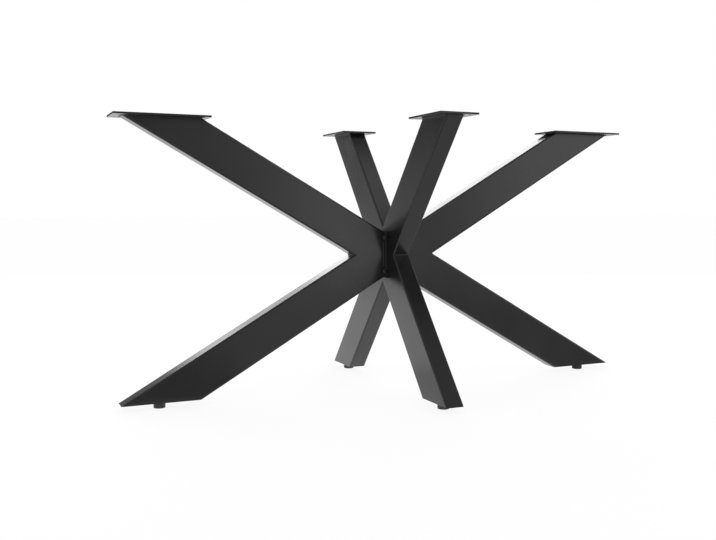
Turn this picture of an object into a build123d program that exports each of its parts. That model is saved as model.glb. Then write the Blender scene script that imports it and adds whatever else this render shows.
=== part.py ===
from build123d import *
from math import asin, atan2, cos, degrees, hypot, sin, tan
import os

# Table frame of welded rectangular tube, powder coated, knocked down into three pieces.
# A long frame of two halves, "<" and ">", is screwed to the side faces of a short, steep X.
# Millimetres. X runs along the long frame, Y along the short one, Z up.
# The origin is on the floor, under the crossing.

# Overall size
overall_height = 738.0
long_spread = 1495.0
short_spread = 725.0

# Rectangular tube of all eight arms: the deep faces lie in the plane of each X
tube_depth = 100.0
tube_width = 50.0
tube_wall = 2.5
tube_corner = 5.0

# Mounting plates under the table top
plate_thick = 5.0
plate_side_lip = 30.0
plate_outer_lip = 25.0
short_plate_outer_lip = 22.0
plate_inner_lip = 18.0
plate_corner = 3.0
plate_edge_round = 0.8
plate_hole = 7.0
plate_hole_inset = 17.0

# Joint plates, welded to the ends of the long frame's two halves, whose centre lines meet behind them
joint_thick = 9.0
joint_meeting_depth = 12.7
joint_lip = 12.5
joint_edge_round = 0.8
joint_screw_rise = 46.5
joint_slot_width = 7.0

# Button-head screws, washers and welded nuts of the joint
screw_size = 6.0
screw_length = 20.0
screw_head_width = 10.5
screw_head_height = 3.3
screw_head_round = 2.4
screw_socket = 4.0
screw_socket_depth = 2.1
washer_width = 12.0
washer_thick = 1.6
screw_play = 0.6
joint_nut_flats = 10.0
joint_nut_height = 5.0

# Closing plate and welded nut in the mouth of each foot
foot_plate_thick = 4.0
foot_plate_gap = 0.2
foot_nut_flats = 13.0
foot_nut_height = 6.5

# Levelling glide: a round pad pressed over the head of a threaded stem
glide_width = 30.0
glide_height = 15.0
glide_outset = 3.0
glide_bottom_round = 1.5
glide_top_chamfer = 0.8
stem_size = 8.0
stem_reach = 24.0
stem_chamfer = 1.0
stem_head_flats = 13.0
stem_head_height = 5.3
stem_head_depth = 0.7
head_gap = 0.1
thread_gap = 0.05

os.makedirs("parts", exist_ok=True)

# Heights of the level cuts and of the crossing
foot_z = glide_height
top_z = overall_height - plate_thick
middle_z = (foot_z + top_z) / 2


def slope_of(half_spread, start):
    """Angle above level of an arm whose centre line starts at this distance from the middle."""
    rise = (top_z - foot_z) / 2
    run = half_spread - start
    return atan2(rise, run) + asin(tube_depth / 2 / hypot(run, rise))


class Limb:
    """One X of the frame, seen along its own direction: where its arms start, how they slope."""

    def __init__(self, half_spread, start, hub_cut, along, across):
        self.slope = slope_of(half_spread, start)
        self.start = start
        self.hub_cut = hub_cut
        self.along = along
        self.across = across
        self.cut_length = tube_depth / sin(self.slope)
        self.cut_middle = half_spread - self.cut_length / 2
        self.glide_distance = self.cut_middle + glide_outset
        # far enough past both ends for every cut
        self.reach = half_spread + top_z
        self.back = tube_depth

    def point(self, distance, z):
        """A point of the limb's middle plane, this far out along its direction."""
        return self.along * distance + Vector(0, 0, z)

    def tube_plane(self, side, level):
        """Plane across one arm, on its centre line behind the crossing. Its X is the tube's width."""
        direction = self.along * (side * cos(self.slope)) + Vector(0, 0, level * sin(self.slope))
        origin = self.point(side * self.start, middle_z) - direction * self.back
        return Plane(origin=origin, x_dir=self.across, z_dir=direction)


# The long arms stop at their joint plates, the short arms at the middle
side_face = tube_width / 2
joint_face = side_face + joint_thick
meeting_x = joint_face - joint_meeting_depth
long_limb = Limb(long_spread / 2, meeting_x, joint_face, Vector(1, 0, 0), Vector(0, 1, 0))
short_limb = Limb(short_spread / 2, 0.0, 0.0, Vector(0, 1, 0), Vector(1, 0, 0))

# Name of each end: its limb and the side it stands on
ends = {
    "left": (long_limb, -1),
    "right": (long_limb, 1),
    "front": (short_limb, -1),
    "back": (short_limb, 1),
}

# Places of the joint screws on a side face: between the tube and the joint plate's edge
screw_y = side_face + joint_lip / 2
screw_spacing = (2 * screw_y, 2 * joint_screw_rise)
wall_hole = screw_size + screw_play
stem_hole = stem_size + 2 * screw_play


def save(part, name):
    part.label = name
    export_step(part, f"parts/{name}.step")


def level_plane(z, up):
    """Level plane whose kept side, its top, lies above it or below it."""
    return Plane(origin=(0, 0, z), z_dir=(0, 0, up))


def side_plane(x, side):
    """Plane on a side face of the hub, looking outward, with its X along the row's Y."""
    return Plane(origin=(side * x, 0, middle_z), x_dir=(0, 1, 0), z_dir=(side, 0, 0))


# Arms: a length of tube, mitred at the crossing's height, cut level at its outer end
def make_arm(limb, side, level):
    outer_z = top_z if level > 0 else foot_z
    hub_plane = Plane(origin=limb.point(side * limb.hub_cut, middle_z), z_dir=limb.along * side)
    with BuildPart() as arm:
        with BuildSketch(limb.tube_plane(side, level)):
            RectangleRounded(tube_width, tube_depth, tube_corner)
            offset(amount=-tube_wall, kind=Kind.INTERSECTION, mode=Mode.SUBTRACT)
        extrude(amount=limb.reach)
        split(bisect_by=level_plane(outer_z, -level), keep=Keep.TOP)
        split(bisect_by=level_plane(middle_z, level), keep=Keep.TOP)
        split(bisect_by=hub_plane, keep=Keep.TOP)
        if limb is short_limb:
            with BuildSketch(side_plane(0, 1)):
                with GridLocations(*screw_spacing, 2, 2):
                    Circle(wall_hole / 2)
            extrude(amount=tube_width, both=True, mode=Mode.SUBTRACT)
    return arm.part


# Mounting plates: flat steel on the level cut of the arm, wider than it all round, with four screw holes
def make_mount_plate(limb, side):
    outer_lip = plate_outer_lip if limb is long_limb else short_plate_outer_lip
    length = limb.cut_length + outer_lip + plate_inner_lip
    width = tube_width + 2 * plate_side_lip
    outset = (outer_lip - plate_inner_lip) / 2
    centre = limb.point(side * (limb.cut_middle + outset), top_z)
    with BuildPart() as plate:
        with BuildSketch(Plane(origin=centre, x_dir=limb.along, z_dir=(0, 0, 1))):
            RectangleRounded(length, width, plate_corner)
            with GridLocations(length - 2 * plate_hole_inset, width - 2 * plate_hole_inset, 2, 2):
                Circle(plate_hole / 2, mode=Mode.SUBTRACT)
        extrude(amount=plate_thick)
        rims = plate.faces().filter_by(Axis.Z)
        fillet(rims.edges(), plate_edge_round)
    return plate.part


# Joint plates: as tall as the two arms where they meet it, with slots open to the long edges
def make_joint_plate(side):
    height = tube_depth / cos(long_limb.slope) + 2 * joint_meeting_depth * tan(long_limb.slope)
    width = tube_width + 2 * joint_lip
    slot_reach = joint_lip
    with BuildPart() as plate:
        with BuildSketch(side_plane(side_face, side)):
            Rectangle(width, height)
            with GridLocations(2 * screw_y + slot_reach, 2 * joint_screw_rise, 2, 2):
                SlotCenterToCenter(slot_reach, joint_slot_width, mode=Mode.SUBTRACT)
        extrude(amount=joint_thick)
        outline = plate.faces().sort_by(Axis.X)[-1 if side > 0 else 0].edges()
        fillet(outline, joint_edge_round)
    return plate.part


# Joint screws: button heads outside, one screw through each slot
def make_joint_screws(side):
    head_x = joint_face + washer_thick
    with BuildPart() as screws:
        with BuildSketch(side_plane(head_x, side)):
            with GridLocations(*screw_spacing, 2, 2):
                Circle(screw_head_width / 2)
        extrude(amount=screw_head_height)
        rims = screws.faces().filter_by(Plane.YZ).group_by(Axis.X)[-1 if side > 0 else 0]
        fillet(rims.edges(), screw_head_round)
        with BuildSketch(side_plane(head_x, side)):
            with GridLocations(*screw_spacing, 2, 2):
                Circle(screw_size / 2)
        extrude(amount=-screw_length)
        with BuildSketch(side_plane(head_x + screw_head_height, side)):
            with GridLocations(*screw_spacing, 2, 2):
                RegularPolygon(screw_socket / 2, 6, major_radius=False)
        extrude(amount=-screw_socket_depth, mode=Mode.SUBTRACT)
    return screws.part


def make_joint_washers(side):
    with BuildPart() as washers:
        with BuildSketch(side_plane(joint_face, side)):
            with GridLocations(*screw_spacing, 2, 2):
                Circle(washer_width / 2)
                Circle(wall_hole / 2, mode=Mode.SUBTRACT)
        extrude(amount=washer_thick)
    return washers.part


# Nuts welded to the inside of the short frame's side walls
def make_joint_nuts(side):
    with BuildPart() as nuts:
        with BuildSketch(side_plane(side_face - tube_wall, side)):
            with GridLocations(*screw_spacing, 2, 2):
                RegularPolygon(joint_nut_flats / 2, 6, major_radius=False)
                Circle(screw_size / 2 + thread_gap, mode=Mode.SUBTRACT)
        extrude(amount=-joint_nut_height)
    return nuts.part


# Foot plates: close the mouth of each lower arm, flush with its level cut
def make_foot_plate(limb, side):
    inner_width = tube_width - 2 * tube_wall - 2 * foot_plate_gap
    inner_depth = tube_depth - 2 * tube_wall - 2 * foot_plate_gap
    with BuildPart() as plate:
        with BuildSketch(limb.tube_plane(side, -1)):
            RectangleRounded(inner_width, inner_depth, tube_corner - tube_wall)
        extrude(amount=limb.reach)
        split(bisect_by=level_plane(foot_z, 1), keep=Keep.TOP)
        split(bisect_by=level_plane(foot_z + foot_plate_thick, -1), keep=Keep.TOP)
        with BuildSketch(Plane(origin=limb.point(side * limb.glide_distance, foot_z), z_dir=(0, 0, 1))):
            Circle(stem_hole / 2)
        extrude(amount=foot_plate_thick, mode=Mode.SUBTRACT)
    return plate.part


def make_foot_nut(limb, side):
    centre = limb.point(side * limb.glide_distance, foot_z + foot_plate_thick)
    with BuildPart() as nut:
        with BuildSketch(Plane(origin=centre, z_dir=(0, 0, 1))):
            RegularPolygon(foot_nut_flats / 2, 6, major_radius=False)
            Circle(stem_size / 2 + thread_gap, mode=Mode.SUBTRACT)
        extrude(amount=foot_nut_height)
    return nut.part


# Glide pads: short round pads that stand on the floor, with a pocket for the stem's head
def make_glide_pad(limb, side):
    centre = limb.point(side * limb.glide_distance, 0)
    pocket_depth = stem_head_depth + stem_head_height + head_gap
    with BuildPart() as pad:
        with BuildSketch(Plane(origin=centre, z_dir=(0, 0, 1))):
            Circle(glide_width / 2)
        extrude(amount=glide_height)
        fillet(pad.edges().sort_by(Axis.Z)[0], glide_bottom_round)
        chamfer(pad.edges().sort_by(Axis.Z)[-1], glide_top_chamfer)
        with BuildSketch(Plane(origin=centre, z_dir=(0, 0, 1)).offset(glide_height)):
            RegularPolygon(stem_head_flats / 2 + head_gap, 6, major_radius=False)
        extrude(amount=-pocket_depth, mode=Mode.SUBTRACT)
    return pad.part


# Glide stems: a hexagon head in the pad and a threaded shank up through the nut
def make_glide_stem(limb, side):
    centre = limb.point(side * limb.glide_distance, glide_height - stem_head_depth)
    base = Plane(origin=centre, z_dir=(0, 0, 1))
    with BuildPart() as stem:
        with BuildSketch(base):
            RegularPolygon(stem_head_flats / 2, 6, major_radius=False)
        extrude(amount=-stem_head_height)
        with BuildSketch(base):
            Circle(stem_size / 2)
        extrude(amount=stem_reach)
        chamfer(stem.edges().sort_by(Axis.Z)[-1], stem_chamfer)
    return stem.part


for end, (limb, side) in ends.items():
    save(make_arm(limb, side, 1), f"{end}_upper_arm")
    save(make_arm(limb, side, -1), f"{end}_lower_arm")
    save(make_mount_plate(limb, side), f"{end}_mount_plate")
    save(make_foot_plate(limb, side), f"{end}_foot_plate")
    save(make_foot_nut(limb, side), f"{end}_foot_nut")
    save(make_glide_pad(limb, side), f"{end}_glide_pad")
    save(make_glide_stem(limb, side), f"{end}_glide_stem")

for end, side in (("left", -1), ("right", 1)):
    save(make_joint_plate(side), f"{end}_joint_plate")
    save(make_joint_screws(side), f"{end}_joint_screws")
    save(make_joint_washers(side), f"{end}_joint_washers")
    save(make_joint_nuts(side), f"{end}_joint_nuts")

print("slopes", round(degrees(long_limb.slope), 2), round(degrees(short_limb.slope), 2))
print("level cuts", round(long_limb.cut_length, 2), round(short_limb.cut_length, 2))
print("level cuts centred at", round(long_limb.cut_middle, 2), round(short_limb.cut_middle, 2))
print("glides at", round(long_limb.glide_distance, 2), round(short_limb.glide_distance, 2))
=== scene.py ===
# %% [markdown]
# # A table frame: black powder coat on welded tube
# The frame is a long X and a short, steep X of rectangular steel tube that cross under
# the middle of a table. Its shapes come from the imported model, which stays exactly as it
# is. This script gives every piece its finish, adds the weld beads and the screw threads
# that the plain solids don't have, and sets up a pale studio around it.
# Everything is in metres. X runs along the long X, Y along the short one, Z is up, and
# the floor is at zero.

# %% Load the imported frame
import bpy
import math
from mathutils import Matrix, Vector


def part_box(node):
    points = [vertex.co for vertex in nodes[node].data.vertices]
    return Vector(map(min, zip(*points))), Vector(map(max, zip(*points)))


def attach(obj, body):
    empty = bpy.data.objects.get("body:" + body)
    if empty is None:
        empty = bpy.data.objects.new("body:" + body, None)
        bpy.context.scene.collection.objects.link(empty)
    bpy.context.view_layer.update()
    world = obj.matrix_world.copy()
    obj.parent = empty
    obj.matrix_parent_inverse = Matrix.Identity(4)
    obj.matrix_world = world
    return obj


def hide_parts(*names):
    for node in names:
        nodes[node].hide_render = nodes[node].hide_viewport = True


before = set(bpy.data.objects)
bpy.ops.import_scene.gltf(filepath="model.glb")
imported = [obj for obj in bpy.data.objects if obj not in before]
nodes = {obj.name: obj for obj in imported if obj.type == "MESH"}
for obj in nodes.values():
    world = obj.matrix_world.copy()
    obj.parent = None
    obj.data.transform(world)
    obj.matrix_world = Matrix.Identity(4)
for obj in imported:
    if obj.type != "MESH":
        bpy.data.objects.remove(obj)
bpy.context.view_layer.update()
scene = bpy.context.scene
ends = ("left", "right", "front", "back")

# %% [markdown]
# ## The camera
# In the photograph every upright line stays parallel to the picture's sides, so the
# camera was level and the lens was shifted down instead of tilted. Its place was worked
# out from the straight edges of the arms. It stands in front of the left foot at about
# seat height. The shift is no larger than that framing needs.

# %% Camera
picture_width, picture_height = 716, 540
focal_pixels = 861.06
horizon_row = 206.70

camera_place = (-1.0737, -2.1923, 0.5072)
camera_turn = math.radians(-23.92)
level = math.radians(90)

camera = bpy.data.objects.new("camera", bpy.data.cameras.new("camera"))
scene.collection.objects.link(camera)
camera.location = camera_place
camera.rotation_euler = (level, 0, camera_turn)
camera.data.sensor_width = 36.0
camera.data.lens = focal_pixels / picture_width * camera.data.sensor_width
camera.data.shift_y = (horizon_row - picture_height / 2) / picture_width
scene.camera = camera
print("lens", round(camera.data.lens, 2), "mm, shift", round(camera.data.shift_y, 4))

# %% [markdown]
# ## A small helper for materials
# A material is a tree of nodes. One helper starts a tree with the main shader, and a
# second adds a node, sets its plain values and joins its inputs. With these two, each
# finish below reads from top to bottom in the order in which it is built up.


# %% Material helpers
def start_material(name):
    """A new material with its tree emptied down to the main shader and the output."""
    material = bpy.data.materials.new(name)
    material.use_nodes = True
    tree = material.node_tree
    tree.nodes.clear()
    shader = tree.nodes.new("ShaderNodeBsdfPrincipled")
    output = tree.nodes.new("ShaderNodeOutputMaterial")
    tree.links.new(shader.outputs["BSDF"], output.inputs["Surface"])
    return material, tree, shader


def add_node(tree, kind, settings=None, **inputs):
    """Adds a node. An input given as a socket is joined, and any other value is set."""
    node = tree.nodes.new(kind)
    for key, value in (settings or {}).items():
        setattr(node, key, value)
    for key, value in inputs.items():
        socket = node.inputs[int(key[1:])] if key[1:].isdigit() else node.inputs[key.replace("_", " ")]
        if isinstance(value, bpy.types.NodeSocket):
            tree.links.new(value, socket)
        else:
            socket.default_value = value
    return node


# %% [markdown]
# ## Powder coat
# Powder coat is a plastic skin baked onto the steel. On this frame it is black and semi
# gloss: it mirrors the room softly at a shallow angle and looks almost matt from the
# front. Its skin isn't quite flat. It flowed as it melted, which leaves a fine orange
# peel, and dust and thickness change the gloss a little from place to place.
# A photograph of real coat would carry its own light and a grain of one fixed size. Noise
# does neither. The colour stays near black, one fine noise makes the peel as a bump, and a
# wide slow noise moves the roughness. Both read object coordinates, so the grain has one
# real size on every arm.


# %% Powder coat
noise_low, noise_high = 0.3, 0.7
coat_gloss_spread, coat_tint_spread = 0.03, 0.08


def powder_coat(name, black, roughness, peel_size, peel_depth, patches_per_metre):
    """Black coat with a fine peel. Sizes are in metres."""
    material, tree, shader = start_material(name)
    place = add_node(tree, "ShaderNodeTexCoord").outputs["Object"]
    patches = add_node(tree, "ShaderNodeTexNoise", Vector=place, Scale=patches_per_metre, Detail=3.0)
    gloss = add_node(
        tree, "ShaderNodeMapRange", Value=patches.outputs["Fac"],
        From_Min=noise_low, From_Max=noise_high,
        To_Min=roughness - coat_gloss_spread, To_Max=roughness + coat_gloss_spread,
    )
    tint = add_node(
        tree, "ShaderNodeMapRange", Value=patches.outputs["Fac"],
        From_Min=noise_low, From_Max=noise_high,
        To_Min=black * (1 - coat_tint_spread), To_Max=black * (1 + coat_tint_spread),
    )
    grey = add_node(
        tree, "ShaderNodeCombineColor",
        Red=tint.outputs["Result"], Green=tint.outputs["Result"], Blue=tint.outputs["Result"],
    )
    peel = add_node(tree, "ShaderNodeTexNoise", Vector=place, Scale=1 / peel_size, Detail=2.0)
    bump = add_node(
        tree, "ShaderNodeBump", Height=peel.outputs["Fac"], Strength=1.0, Distance=peel_depth,
    )
    tree.links.new(grey.outputs["Color"], shader.inputs["Base Color"])
    tree.links.new(gloss.outputs["Result"], shader.inputs["Roughness"])
    tree.links.new(bump.outputs["Normal"], shader.inputs["Normal"])
    return material


coat = powder_coat(
    "powder_coat", black=0.012, roughness=0.24,
    peel_size=0.0012, peel_depth=0.00002, patches_per_metre=7.0,
)
print("coat", coat.name, "with", len(coat.node_tree.nodes), "nodes")

# %% [markdown]
# ## Screws, threads and feet
# The joint screws and washers are blackened steel, smoother than the coat. The stems and
# nuts are zinc plated, which is bright and slightly uneven. The feet are a hard black
# plastic with a dull moulded skin.
# The three differ only in colour, metal, gloss and grain, so one function makes them all.
# One noise sets the shade, the roughness and the bump together, because on a real casting
# or plating the same small unevenness causes all three.


# %% Metals and plastic
grain_spread = 0.15


def plain_finish(name, colour, metallic, roughness, grain_size, grain_depth):
    """A finish of one colour, broken up a little by a grain. Sizes are in metres."""
    material, tree, shader = start_material(name)
    shader.inputs["Metallic"].default_value = metallic
    place = add_node(tree, "ShaderNodeTexCoord").outputs["Object"]
    grain = add_node(tree, "ShaderNodeTexNoise", Vector=place, Scale=1 / grain_size, Detail=3.0)
    shade = add_node(tree, "ShaderNodeMix", {"data_type": "RGBA"}, Factor=grain.outputs["Fac"])
    shade.inputs[6].default_value = [c * (1 - grain_spread) for c in colour] + [1.0]
    shade.inputs[7].default_value = [c * (1 + grain_spread) for c in colour] + [1.0]
    gloss = add_node(
        tree, "ShaderNodeMapRange", Value=grain.outputs["Fac"],
        From_Min=noise_low, From_Max=noise_high,
        To_Min=roughness * (1 - grain_spread), To_Max=roughness * (1 + grain_spread),
    )
    bump = add_node(
        tree, "ShaderNodeBump", Height=grain.outputs["Fac"], Strength=1.0, Distance=grain_depth,
    )
    tree.links.new(shade.outputs[2], shader.inputs["Base Color"])
    tree.links.new(gloss.outputs["Result"], shader.inputs["Roughness"])
    tree.links.new(bump.outputs["Normal"], shader.inputs["Normal"])
    return material


blackened_steel = plain_finish("blackened_steel", (0.03, 0.03, 0.032), 0.0, 0.30, 0.0015, 0.00001)
zinc_plate = plain_finish("zinc_plate", (0.62, 0.62, 0.60), 1.0, 0.34, 0.0008, 0.00001)
moulded_plastic = plain_finish("moulded_plastic", (0.03, 0.03, 0.031), 0.0, 0.45, 0.0006, 0.00002)

# %% [markdown]
# ## Every piece gets its finish
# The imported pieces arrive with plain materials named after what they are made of. Each is
# exchanged for its finish in its own slot, so the pieces' shapes aren't touched.

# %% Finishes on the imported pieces
finishes = {
    "powder_black": coat,
    "black_screws": blackened_steel,
    "zinc_steel": zinc_plate,
    "glide_plastic": moulded_plastic,
}

for node in nodes.values():
    for place in node.material_slots:
        place.material = finishes[place.material.name]
print("finishes", sorted(finishes))

# %% [markdown]
# ## A helper for trees of geometry nodes
# Weld beads and screw threads repeat one small form along a path, so a rule makes them and
# not a hand. A tree of geometry nodes holds such a rule, and its sizes are inputs with
# names. A modifier keeps each value under the identifier of its input, so the helper looks
# that up before anything is worked out. Then the result is turned into a plain mesh, and
# the modifier and its carrier go away.


# %% Tree helpers
def start_tree(name, inputs):
    """A new tree with a geometry input and output, and one named input for each size."""
    tree = bpy.data.node_groups.new(name, "GeometryNodeTree")
    tree.interface.new_socket("Geometry", in_out="INPUT", socket_type="NodeSocketGeometry")
    for label, kind in inputs.items():
        tree.interface.new_socket(label, in_out="INPUT", socket_type=kind)
    tree.interface.new_socket("Geometry", in_out="OUTPUT", socket_type="NodeSocketGeometry")
    given = tree.nodes.new("NodeGroupInput")
    result = tree.nodes.new("NodeGroupOutput")
    return tree, given.outputs, result.inputs["Geometry"]


def run_tree(name, tree, points, edges, values):
    """Runs the tree on a few points and edges, and returns what it makes as a plain object."""
    guide = bpy.data.meshes.new(name + "_guide")
    guide.from_pydata(points, edges, [])
    carrier = bpy.data.objects.new(name + "_guide", guide)
    scene.collection.objects.link(carrier)
    modifier = carrier.modifiers.new("tree", "NODES")
    modifier.node_group = tree
    for socket in tree.interface.items_tree:
        if socket.in_out == "INPUT" and socket.name in values:
            modifier[socket.identifier] = values[socket.name]
    depsgraph = bpy.context.evaluated_depsgraph_get()
    mesh = bpy.data.meshes.new_from_object(carrier.evaluated_get(depsgraph), depsgraph=depsgraph)
    carrier.modifiers.remove(modifier)
    bpy.data.objects.remove(carrier)
    mesh.name = name
    finish = next(material for material in mesh.materials if material)
    mesh.materials.clear()
    mesh.materials.append(finish)
    mesh.polygons.foreach_set("material_index", [0] * len(mesh.polygons))
    piece = bpy.data.objects.new(name, mesh)
    scene.collection.objects.link(piece)
    mesh.calc_loop_triangles()
    print(name, len(mesh.loop_triangles), "triangles")
    return piece


def float_socket(labels):
    return {label: "NodeSocketFloat" for label in labels}


# %% [markdown]
# ## Weld beads
# The welder runs a small bead round the end of each arm under its mounting plate, down both
# sides of the joint plates, and across the crotches where two arms meet. A bead is a row of
# puddles that each froze over the one before, and the powder coat rounds them off.
# A displaced tube would need a texture for the puddles. Here the bead's own path sets them:
# the path is cut into short steps, its radius swells once for every puddle, and a round
# profile is swept along it. No two puddles are quite alike, so a slow noise that runs
# along the path changes how far they swell. One tree makes all the beads from paths that
# are only edges.

# %% The bead's tree: its path and its puddles
puddles_per_change = 0.35
least_puddle, puddle_spread = 0.75, 0.5
bead_sides = 10

bead_tree, size, made = start_tree(
    "weld_bead",
    {**float_socket(["Radius", "Puddle length", "Swell", "Step"]), "Coat": "NodeSocketMaterial"},
)
path = add_node(bead_tree, "GeometryNodeMeshToCurve", Mesh=size["Geometry"])
steps = add_node(
    bead_tree, "GeometryNodeResampleCurve", {"mode": "LENGTH"}, Curve=path.outputs[0], Length=size["Step"],
)
along = add_node(bead_tree, "GeometryNodeSplineParameter").outputs["Length"]
count = add_node(bead_tree, "ShaderNodeMath", {"operation": "DIVIDE"}, _0=along, _1=size["Puddle length"])
phase = add_node(bead_tree, "ShaderNodeMath", {"operation": "FRACT"}, _0=count.outputs[0])
turn = add_node(bead_tree, "ShaderNodeMath", {"operation": "MULTIPLY"}, _0=phase.outputs[0], _1=math.pi)
hump = add_node(bead_tree, "ShaderNodeMath", {"operation": "SINE"}, _0=turn.outputs[0])
wander = add_node(
    bead_tree, "ShaderNodeTexNoise", {"noise_dimensions": "1D"},
    W=count.outputs[0], Scale=puddles_per_change,
)
uneven = add_node(
    bead_tree, "ShaderNodeMath", {"operation": "MULTIPLY_ADD"},
    _0=wander.outputs["Fac"], _1=puddle_spread, _2=least_puddle,
)
puddle = add_node(
    bead_tree, "ShaderNodeMath", {"operation": "MULTIPLY"}, _0=hump.outputs[0], _1=uneven.outputs[0],
)
rise = add_node(
    bead_tree, "ShaderNodeMath", {"operation": "MULTIPLY_ADD"},
    _0=puddle.outputs[0], _1=size["Swell"], _2=1.0,
)

# %% The bead's tree: the swept profile
profile = add_node(
    bead_tree, "GeometryNodeCurvePrimitiveCircle", {"mode": "RADIUS"},
    Resolution=bead_sides, Radius=size["Radius"],
)
swept = add_node(
    bead_tree, "GeometryNodeCurveToMesh",
    Curve=steps.outputs[0], Profile_Curve=profile.outputs[0], Scale=rise.outputs[0], Fill_Caps=True,
)
whole = add_node(bead_tree, "GeometryNodeRealizeInstances", Geometry=swept.outputs[0])
smooth = add_node(bead_tree, "GeometryNodeSetShadeSmooth", Geometry=whole.outputs[0])
coated = add_node(bead_tree, "GeometryNodeSetMaterial", Geometry=smooth.outputs[0], Material=size["Coat"])
bead_tree.links.new(coated.outputs[0], made)
print(len(bead_tree.nodes), "nodes in", bead_tree.name)

# %% [markdown]
# ### Where the beads run
# The beads have to lie on the tube, so their paths are worked out from the boxes of the
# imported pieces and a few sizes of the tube. The arms' slope follows from how far an arm
# reaches and how high it rises. The long arms' centre lines start a little inside the
# joint plates, and the short arms' in the middle of the frame.

# %% Sizes and slopes that the beads follow
tube_width, tube_depth, tube_corner = 0.050, 0.100, 0.005
meeting_depth = 0.0127
plate_z = min(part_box(f"{end}_mount_plate")[0][2] for end in ends)
foot_z = min(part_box(f"{end}_lower_arm")[0][2] for end in ends)
middle_z = (plate_z + foot_z) / 2


def reach_of(end):
    """The axis along which an end reaches, 0 for X and 1 for Y, and the side it is on."""
    return (0 if end in ("left", "right") else 1), (1 if end in ("right", "back") else -1)


def half_box(end, piece, axis):
    """How far a piece of this end reaches from the middle of the frame."""
    return max(abs(corner[axis]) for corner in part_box(f"{end}_{piece}"))


joint_face = half_box("left", "joint_plate", 0)


def slope_of(end):
    """The slope of an end's arms, from where their centre lines start to where they are cut."""
    run = reach_of(end)[0]
    start = joint_face - meeting_depth if run == 0 else 0.0
    reach, rise = half_box(end, "upper_arm", run) - start, plate_z - middle_z
    return math.atan2(rise, reach) + math.asin(tube_depth / 2 / math.hypot(reach, rise))


print("slopes", [round(math.degrees(slope_of(end)), 2) for end in ends])

# %% [markdown]
# ### Beads under the mounting plates
# A level cut through a sloping tube is a rounded rectangle, stretched along the slope. The
# bead runs once round it. It lies mostly inside the corner between tube and plate, so only
# a narrow rim of it shows. All four make one mesh, because they belong to one body.

# %% Beads under the plates
corner_steps = 6
bead_drop = 0.0005


def cut_outline(end):
    """The tube's outline where it is cut level under its plate."""
    run, side = reach_of(end)
    stretch = 1 / math.sin(slope_of(end))
    middle = side * (half_box(end, "upper_arm", run) - tube_depth / 2 * stretch)
    points = []
    for across, along, start in ((1, 1, 0), (-1, 1, 90), (-1, -1, 180), (1, -1, 270)):
        for step in range(corner_steps + 1):
            angle = math.radians(start + 90 * step / corner_steps)
            u = across * (tube_width / 2 - tube_corner) + tube_corner * math.cos(angle)
            v = (along * (tube_depth / 2 - tube_corner) + tube_corner * math.sin(angle)) * stretch
            place = (middle + v, u) if run == 0 else (u, middle + v)
            points.append((*place, plate_z - bead_drop))
    return points


def closed_path(points, start):
    return [(start + i, start + (i + 1) % len(points)) for i in range(len(points))]


points, edges = [], []
for end in ends:
    outline = cut_outline(end)
    edges += closed_path(outline, len(points))
    points += outline
bead = {"Radius": 0.0013, "Puddle length": 0.0022, "Swell": 0.25, "Step": 0.0006, "Coat": coat}
plate_welds = run_tree("plate_welds", bead_tree, points, edges, bead)
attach(plate_welds, "frame")

# %% [markdown]
# ### Beads down the joint plates
# Each half of the long X ends in an upright plate that is screwed to the short X. A bead
# runs down both sides of it where it meets the tube, and stops short of the screws, where
# the welder left room for their heads.

# %% Beads down the joint plates
joint_bead_reach = 0.034
points, edges = [], []
for name in ("left_joint_plate", "right_joint_plate"):
    outer_x = max((corner[0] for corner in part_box(name)), key=abs)
    for face in (-1, 1):
        edges.append((len(points), len(points) + 1))
        for rise in (-joint_bead_reach, joint_bead_reach):
            points.append((outer_x, face * tube_width / 2, middle_z + rise))
joint_welds = run_tree("joint_welds", bead_tree, points, edges, {**bead, "Radius": 0.0016, "Swell": 0.18})
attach(joint_welds, "frame")

# %% [markdown]
# ### Beads across the crotches
# Where an upper and a lower arm meet, a short bead fills the crotch between them from one
# rounded corner of the tube to the other. The short X also has one on top and one below,
# where its two halves meet over and under the middle. All of these lie in a sharp inner
# corner, so a straight edge is enough of a path.

# %% Beads across the crotches
points, edges = [], []
half_width = tube_width / 2 - tube_corner
for end in ends:
    run, side = reach_of(end)
    slope = slope_of(end)
    crotch = side * (half_box(end, "upper_arm", run) - (plate_z - middle_z) / math.tan(slope))
    edges.append((len(points), len(points) + 1))
    for across in (-half_width, half_width):
        points.append((crotch, across, middle_z) if run == 0 else (across, crotch, middle_z))
valley = tube_depth / 2 / math.cos(slope_of("front"))
for rise in (-valley, valley):
    edges.append((len(points), len(points) + 1))
    for across in (-half_width, half_width):
        points.append((across, 0, middle_z + rise))
crotch_welds = run_tree("crotch_welds", bead_tree, points, edges, {**bead, "Radius": 0.0022, "Swell": 0.15})
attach(crotch_welds, "frame")

# %% [markdown]
# ## Threaded stems
# Each foot stands on a threaded stem with a hexagon head, which turns in a nut in the tube
# to level the table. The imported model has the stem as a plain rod, and these stand in its
# place. The thread could be cut with a boolean, which is slow and leaves poor faces. A
# ridge wound round a thinner rod looks the same and is quick: a spiral path with a small
# lozenge swept along it. The lozenge fades out over one turn at each end, as on a rolled
# thread. How many turns there are follows from the length and the pitch.

# %% The stem's tree: the ridge of the thread
steps_per_turn, lozenge_corners = 20, 4
ridge_end = 0.05

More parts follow.
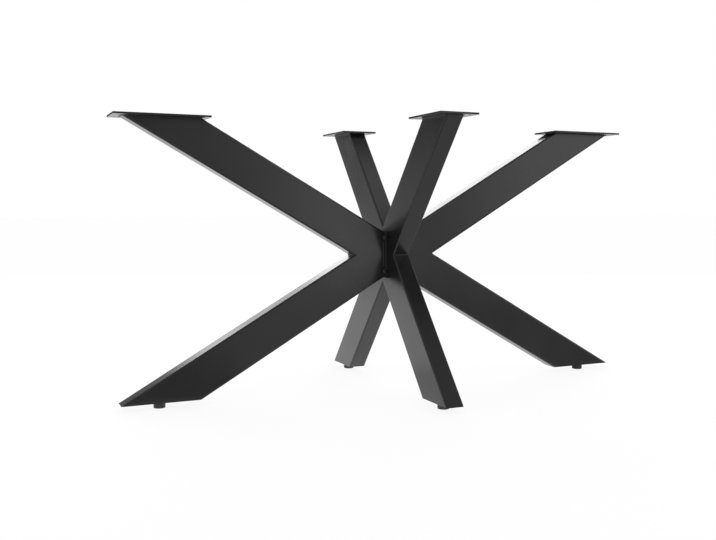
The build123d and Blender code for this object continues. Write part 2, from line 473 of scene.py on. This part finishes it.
stem_sizes = ["Outer radius", "Core radius", "Pitch", "Length", "Head radius", "Head height"]
stem_tree, size, made = start_tree(
    "threaded_stem", {**float_socket(stem_sizes), "Zinc": "NodeSocketMaterial"},
)
pitches = add_node(
    stem_tree, "ShaderNodeMath", {"operation": "DIVIDE"}, _0=size["Length"], _1=size["Pitch"],
)
turns = add_node(stem_tree, "ShaderNodeMath", {"operation": "SUBTRACT"}, _0=pitches.outputs[0], _1=1.0)
winding = add_node(
    stem_tree, "GeometryNodeCurveSpiral", Resolution=steps_per_turn, Rotations=turns.outputs[0],
    Start_Radius=size["Core radius"], End_Radius=size["Core radius"], Height=size["Length"],
)
upright = add_node(stem_tree, "GeometryNodeSetCurveNormal", {"mode": "Z_UP"}, Curve=winding.outputs[0])
share = add_node(stem_tree, "GeometryNodeSplineParameter").outputs["Factor"]
turns_in = add_node(stem_tree, "ShaderNodeMath", {"operation": "MULTIPLY"}, _0=share, _1=turns.outputs[0])
turns_left = add_node(
    stem_tree, "ShaderNodeMath", {"operation": "SUBTRACT"}, _0=turns.outputs[0], _1=turns_in.outputs[0],
)
nearest = add_node(
    stem_tree, "ShaderNodeMath", {"operation": "MINIMUM"}, _0=turns_in.outputs[0], _1=turns_left.outputs[0],
)
fade = add_node(
    stem_tree, "ShaderNodeMapRange", Value=nearest.outputs[0],
    From_Min=0.0, From_Max=1.0, To_Min=ridge_end, To_Max=1.0,
)
ridge_height = add_node(
    stem_tree, "ShaderNodeMath", {"operation": "SUBTRACT"}, _0=size["Outer radius"], _1=size["Core radius"],
)
lozenge = add_node(
    stem_tree, "GeometryNodeCurvePrimitiveCircle", {"mode": "RADIUS"},
    Resolution=lozenge_corners, Radius=ridge_height.outputs[0],
)
ridge = add_node(
    stem_tree, "GeometryNodeCurveToMesh",
    Curve=upright.outputs[0], Profile_Curve=lozenge.outputs[0],
    Scale=fade.outputs["Result"], Fill_Caps=True,
)

# %% The stem's tree: the rod and the head
rod_sides, head_sides = 24, 6

rod = add_node(
    stem_tree, "GeometryNodeMeshCylinder",
    Vertices=rod_sides, Radius=size["Core radius"], Depth=size["Length"],
)
half_length = add_node(
    stem_tree, "ShaderNodeMath", {"operation": "MULTIPLY"}, _0=size["Length"], _1=0.5,
)
rod_lift = add_node(stem_tree, "ShaderNodeCombineXYZ", Z=half_length.outputs[0])
rod_up = add_node(
    stem_tree, "GeometryNodeTransform", Geometry=rod.outputs[0], Translation=rod_lift.outputs[0],
)
hexagon = add_node(
    stem_tree, "GeometryNodeMeshCylinder",
    Vertices=head_sides, Radius=size["Head radius"], Depth=size["Head height"],
)
half_head = add_node(
    stem_tree, "ShaderNodeMath", {"operation": "MULTIPLY"}, _0=size["Head height"], _1=-0.5,
)
head_drop = add_node(stem_tree, "ShaderNodeCombineXYZ", Z=half_head.outputs[0])
head_down = add_node(
    stem_tree, "GeometryNodeTransform", Geometry=hexagon.outputs[0], Translation=head_drop.outputs[0],
)

# %% The stem's tree: the three parts joined
stem = add_node(stem_tree, "GeometryNodeJoinGeometry")
for part in (ridge, rod_up, head_down):
    stem_tree.links.new(part.outputs[0], stem.inputs[0])
placed = add_node(
    stem_tree, "GeometryNodeInstanceOnPoints", Points=size["Geometry"], Instance=stem.outputs[0],
)
whole = add_node(stem_tree, "GeometryNodeRealizeInstances", Geometry=placed.outputs[0])
plated = add_node(stem_tree, "GeometryNodeSetMaterial", Geometry=whole.outputs[0], Material=size["Zinc"])
stem_tree.links.new(plated.outputs[0], made)
print(len(stem_tree.nodes), "nodes in", stem_tree.name)

# %% [markdown]
# ### One stem in each foot
# The stem's tree stands on one point, at the top of the head and the foot of the rod. That
# point and the lengths come from the box of the plain rod that it replaces. Each stem
# moves with its own glide.

# %% Four threaded stems
thread = {"Outer radius": 0.00395, "Core radius": 0.0033, "Pitch": 0.00125, "Head height": 0.0053}
for end in ends:
    low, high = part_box(f"{end}_glide_stem")
    rod_foot = ((low[0] + high[0]) / 2, (low[1] + high[1]) / 2, low[2] + thread["Head height"])
    lengths = {"Length": high[2] - rod_foot[2], "Head radius": (high[0] - low[0]) / 2}
    threaded_stem = run_tree(
        f"{end}_threaded_stem", stem_tree, [rod_foot], [], {**thread, **lengths, "Zinc": zinc_plate},
    )
    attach(threaded_stem, f"{end}_glide")
    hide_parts(f"{end}_glide_stem")

# %% [markdown]
# ## The floor
# The frame stands on a plain white sheet that runs to the horizon. A white sheet under
# plain light comes out light grey, and more light to whiten it would wash out the coat.
# So part of its white is its own light, as on a light table, and only the camera and
# mirrored rays see that part. The rest is matt and keeps the frame's faint shadow.

# %% Floor
floor_half = 40.0
floor_glow, glow_share = 1.1, 0.8
sheet_white = 0.9
floor_mesh = bpy.data.meshes.new("floor")
floor_corners = [
    (x * floor_half, y * floor_half, 0) for x, y in ((-1, -1), (1, -1), (1, 1), (-1, 1))
]
floor_mesh.from_pydata(floor_corners, [], [(0, 1, 2, 3)])
floor = bpy.data.objects.new("floor", floor_mesh)
scene.collection.objects.link(floor)

floor_white = bpy.data.materials.new("floor_white")
floor_white.use_nodes = True
tree = floor_white.node_tree
tree.nodes.clear()
rays = add_node(tree, "ShaderNodeLightPath")
camera_or_mirror = add_node(
    tree, "ShaderNodeMath", {"operation": "MAXIMUM"},
    _0=rays.outputs["Is Camera Ray"], _1=rays.outputs["Is Glossy Ray"],
)
seen = add_node(
    tree, "ShaderNodeMath", {"operation": "MAXIMUM"},
    _0=camera_or_mirror.outputs[0], _1=rays.outputs["Is Transmission Ray"],
)
share = add_node(tree, "ShaderNodeMath", {"operation": "MULTIPLY"}, _0=seen.outputs[0], _1=glow_share)
sheet = add_node(tree, "ShaderNodeBsdfDiffuse", Color=(sheet_white, sheet_white, sheet_white, 1))
glow = add_node(tree, "ShaderNodeEmission", Color=(1, 1, 1, 1), Strength=floor_glow)
both = add_node(tree, "ShaderNodeMixShader", _0=share.outputs[0], _1=sheet.outputs[0], _2=glow.outputs[0])
add_node(tree, "ShaderNodeOutputMaterial", Surface=both.outputs[0])
floor_mesh.materials.append(floor_white)
print("floor", 2 * floor_half, "m square")

# %% [markdown]
# ## The room
# A white room all round is the plainest soft light: it comes from everywhere, and nothing
# in it makes a hard shadow. Overhead it turns greyer, as under a real ceiling, so the tops
# of the tubes don't glare. The standard view shows each colour as it is written.

# %% Room
wall_white, overhead_grey = 1.0, 0.45
greying_starts, greying_ends = 0.3, 0.75

room = bpy.data.worlds.new("room")
scene.world = room
room.use_nodes = True
tree = room.node_tree
tree.nodes.clear()
direction = add_node(tree, "ShaderNodeTexCoord").outputs["Generated"]
parts = add_node(tree, "ShaderNodeSeparateXYZ", Vector=direction)
overhead = add_node(
    tree, "ShaderNodeMapRange", {"interpolation_type": "SMOOTHSTEP"}, Value=parts.outputs["Z"],
    From_Min=greying_starts, From_Max=greying_ends, To_Min=wall_white, To_Max=overhead_grey,
)
light = add_node(tree, "ShaderNodeBackground", Color=(1, 1, 1, 1), Strength=overhead.outputs["Result"])
add_node(tree, "ShaderNodeOutputWorld", Surface=light.outputs[0])

scene.view_settings.view_transform = "Standard"
print("view", scene.view_settings.view_transform)

# %% [markdown]
# ## One soft box
# In the photograph the thin upper faces of the arms shine where they point away from the
# camera. A large soft box high behind the frame gives that rim of light. It is plain and
# white, and stands out of the picture.

# %% Soft box
def soft_box(name, place, target, size, radiance):
    """A flat lamp that faces its target. It lights the set, but the camera can't see it."""
    data = bpy.data.lights.new(name, "AREA")
    data.shape = "RECTANGLE"
    data.size, data.size_y = size
    data.energy = radiance * math.pi * size[0] * size[1]
    lamp = bpy.data.objects.new(name, data)
    scene.collection.objects.link(lamp)
    lamp.location = place
    lamp.rotation_euler = (Vector(target) - Vector(place)).to_track_quat("-Z", "Y").to_euler()
    lamp.visible_camera = False
    return lamp


back_soft_box = soft_box(
    "back_soft_box", place=(1.6, 3.2, 2.05), target=(0.3, 0, 1.4), size=(3.4, 2.1), radiance=2.7,
)
print("soft box", round(back_soft_box.data.energy, 1), "W")

# %% [markdown]
# ## Glowing cards that the coat mirrors: painted reflections
# Black gloss shows its surroundings more than its own colour. A photographer shapes a
# black object with cards of felt and paper round it; here glowing cards stand in for them,
# and the greys in the photograph tell where they stood: a flat face mirrors one patch of
# the room. The ray from the camera to each face was followed on to the floor, the walls
# and the roof, and a card lies where it ends. Only mirrored rays see a card, so it doesn't
# light the frame and casts no shadow: each card is a painted reflection. A lamp for each
# face would light the other faces too, which a card doesn't.

# %% Card helpers
floor_gap = 0.001
roof_z = 1.3


def card(name, corners, shades, span=(0.0, 1.0), axis="X"):
    """A flat glowing card that only mirrored rays see: a painted reflection whose grey runs from the first
    shade to the second over a span of an axis.
    """
    mesh = bpy.data.meshes.new(name)
    mesh.from_pydata(corners, [], [(0, 1, 2, 3)])
    piece = bpy.data.objects.new(name, mesh)
    scene.collection.objects.link(piece)
    paint = bpy.data.materials.new(name)
    paint.use_nodes = True
    tree = paint.node_tree
    tree.nodes.clear()
    place = add_node(tree, "ShaderNodeTexCoord").outputs["Object"]
    parts = add_node(tree, "ShaderNodeSeparateXYZ", Vector=place)
    shade = add_node(
        tree, "ShaderNodeMapRange", Value=parts.outputs[axis],
        From_Min=span[0], From_Max=span[1], To_Min=shades[0], To_Max=shades[1],
    )
    glow = add_node(tree, "ShaderNodeEmission", Color=(1, 1, 1, 1), Strength=shade.outputs["Result"])
    add_node(tree, "ShaderNodeOutputMaterial", Surface=glow.outputs[0])
    mesh.materials.append(paint)
    # Only mirrored rays see the card, so its glow is a painted reflection and lights nothing.
    piece.visible_camera = False
    piece.visible_diffuse = False
    piece.visible_transmission = False
    piece.visible_shadow = False


def level_card(name, z, x, y, shades, span=(0.0, 1.0)):
    """A card that lies or hangs level, over a range of x and a range of y."""
    card(name, [(x[0], y[0], z), (x[1], y[0], z), (x[1], y[1], z), (x[0], y[1], z)], shades, span)


def standing_card(name, y, x, z, shades, span=(0.0, 1.0), axis="X"):
    """A card that stands across the view, over a range of x and a range of z."""
    card(name, [(x[0], y, z[0]), (x[1], y, z[0]), (x[1], y, z[1]), (x[0], y, z[1])], shades, span, axis)


# %% [markdown]
# ### Behind the frame
# The left faces of the two short arms mirror glowing cards behind and to the left, which paint
# their reflections. It is dark high up and lighter near the floor, and darkest just left of the
# frame. The narrow top of the left lower arm mirrors a bright painted strip beside that, and a
# paler one next to it.

# %% Cards behind the frame
# Painted reflections: glowing cards that only mirrored rays see.
standing_card("left_grey_reflection", 3.0, (-5, -1.5), (0.02, 2.6), (0.7, 0.2), (0.2, 1.1), "Z")
standing_card("left_dark_reflection", 3.0, (-1.5, -0.82), (0.02, 2.6), (0.7, 0.0), (0.2, 1.1), "Z")
standing_card("bright_reflection_strip", 3.1, (-0.7, -0.4), (0.8, 1.5), (3.2, 3.2))
standing_card("pale_reflection_strip", 3.1, (-0.4, 0.15), (1.0, 1.6), (2.2, 1.5), (-0.4, 0.15))

# %% [markdown]
# ### In front of the frame
# The broad near faces of the four long arms mirror glowing cards behind the camera, painted
# reflections that are darker on the left and lighter on the right, with a bright and a dark
# strip that the middle of the frame shows.

# %% Cards in front of the frame
# Painted reflections: glowing cards that only mirrored rays see.
standing_card("front_reflection", -3.0, (-2, 5), (0.02, 2.2), (0.38, 1.5), (-0.2, 2.6))
standing_card("front_strip", -2.98, (0.85, 1.4), (0.02, 1.4), (2.0, 2.0))
standing_card("front_gap", -2.98, (1.5, 1.95), (0.02, 1.4), (0.1, 0.1))

# %% [markdown]
# ### On the floor
# The lower arms and the undersides mirror the floor, and glowing cards just above it paint
# that reflection. A white one behind the frame makes the undersides of the long arms and
# the left faces of the short lower ones light. Dimmer ones in front of it keep the near
# faces dark.

# %% Cards on the floor
# Painted reflections: glowing cards that only mirrored rays see, lying just over the floor.
level_card("near_dark_reflection", floor_gap, (-3, -0.35), (-0.9, -0.1), (0.33, 0.33))
level_card("gap_grey_reflection", floor_gap, (-0.35, 0.1), (-0.9, -0.45), (0.55, 0.55))
level_card("middle_grey_reflection", floor_gap, (0.1, 0.6), (-0.9, -0.1), (0.65, 0.65))
level_card("right_grey_reflection", floor_gap, (0.6, 4), (-0.9, 0.1), (0.42, 0.42))
level_card("far_grey_reflection", floor_gap, (-3, 4), (-4, -0.9), (0.7, 0.35), (0.2, 1.2))
level_card("white_strip", floor_gap, (-0.35, 0.1), (-0.45, 0.2), (0.95, 1.2), (-0.2, 0.1))
level_card("side_strip", floor_gap, (0.1, 0.6), (-0.1, 0.2), (1.1, 1.0), (0.1, 0.6))
level_card("white_card", floor_gap, (-3, 3), (0.2, 3), (1.32, 0.62), (-0.1, 0.8))

# %% [markdown]
# ### Overhead
# The back upper arm and the front lower arm lie in line, so their upper faces point the
# same way, at the space above the front of the frame. A glowing white card hangs between
# two black ones there, all seen only in reflection. The upper arm mirrors the white one, a
# painted reflection with black at its tip, and the lower arm mirrors the black one in front.

# %% Cards overhead
# Painted reflections: cards that only mirrored rays see, one glowing white between two black.
level_card("front_black_reflection", roof_z, (0.1, 1.2), (-0.58, -0.21), (0.0, 0.0))
level_card("top_card", roof_z, (0.0, 0.7), (-0.21, 0.11), (1.02, 1.02))
level_card("back_black_reflection", roof_z, (-0.1, 0.7), (0.11, 0.7), (0.0, 0.0))
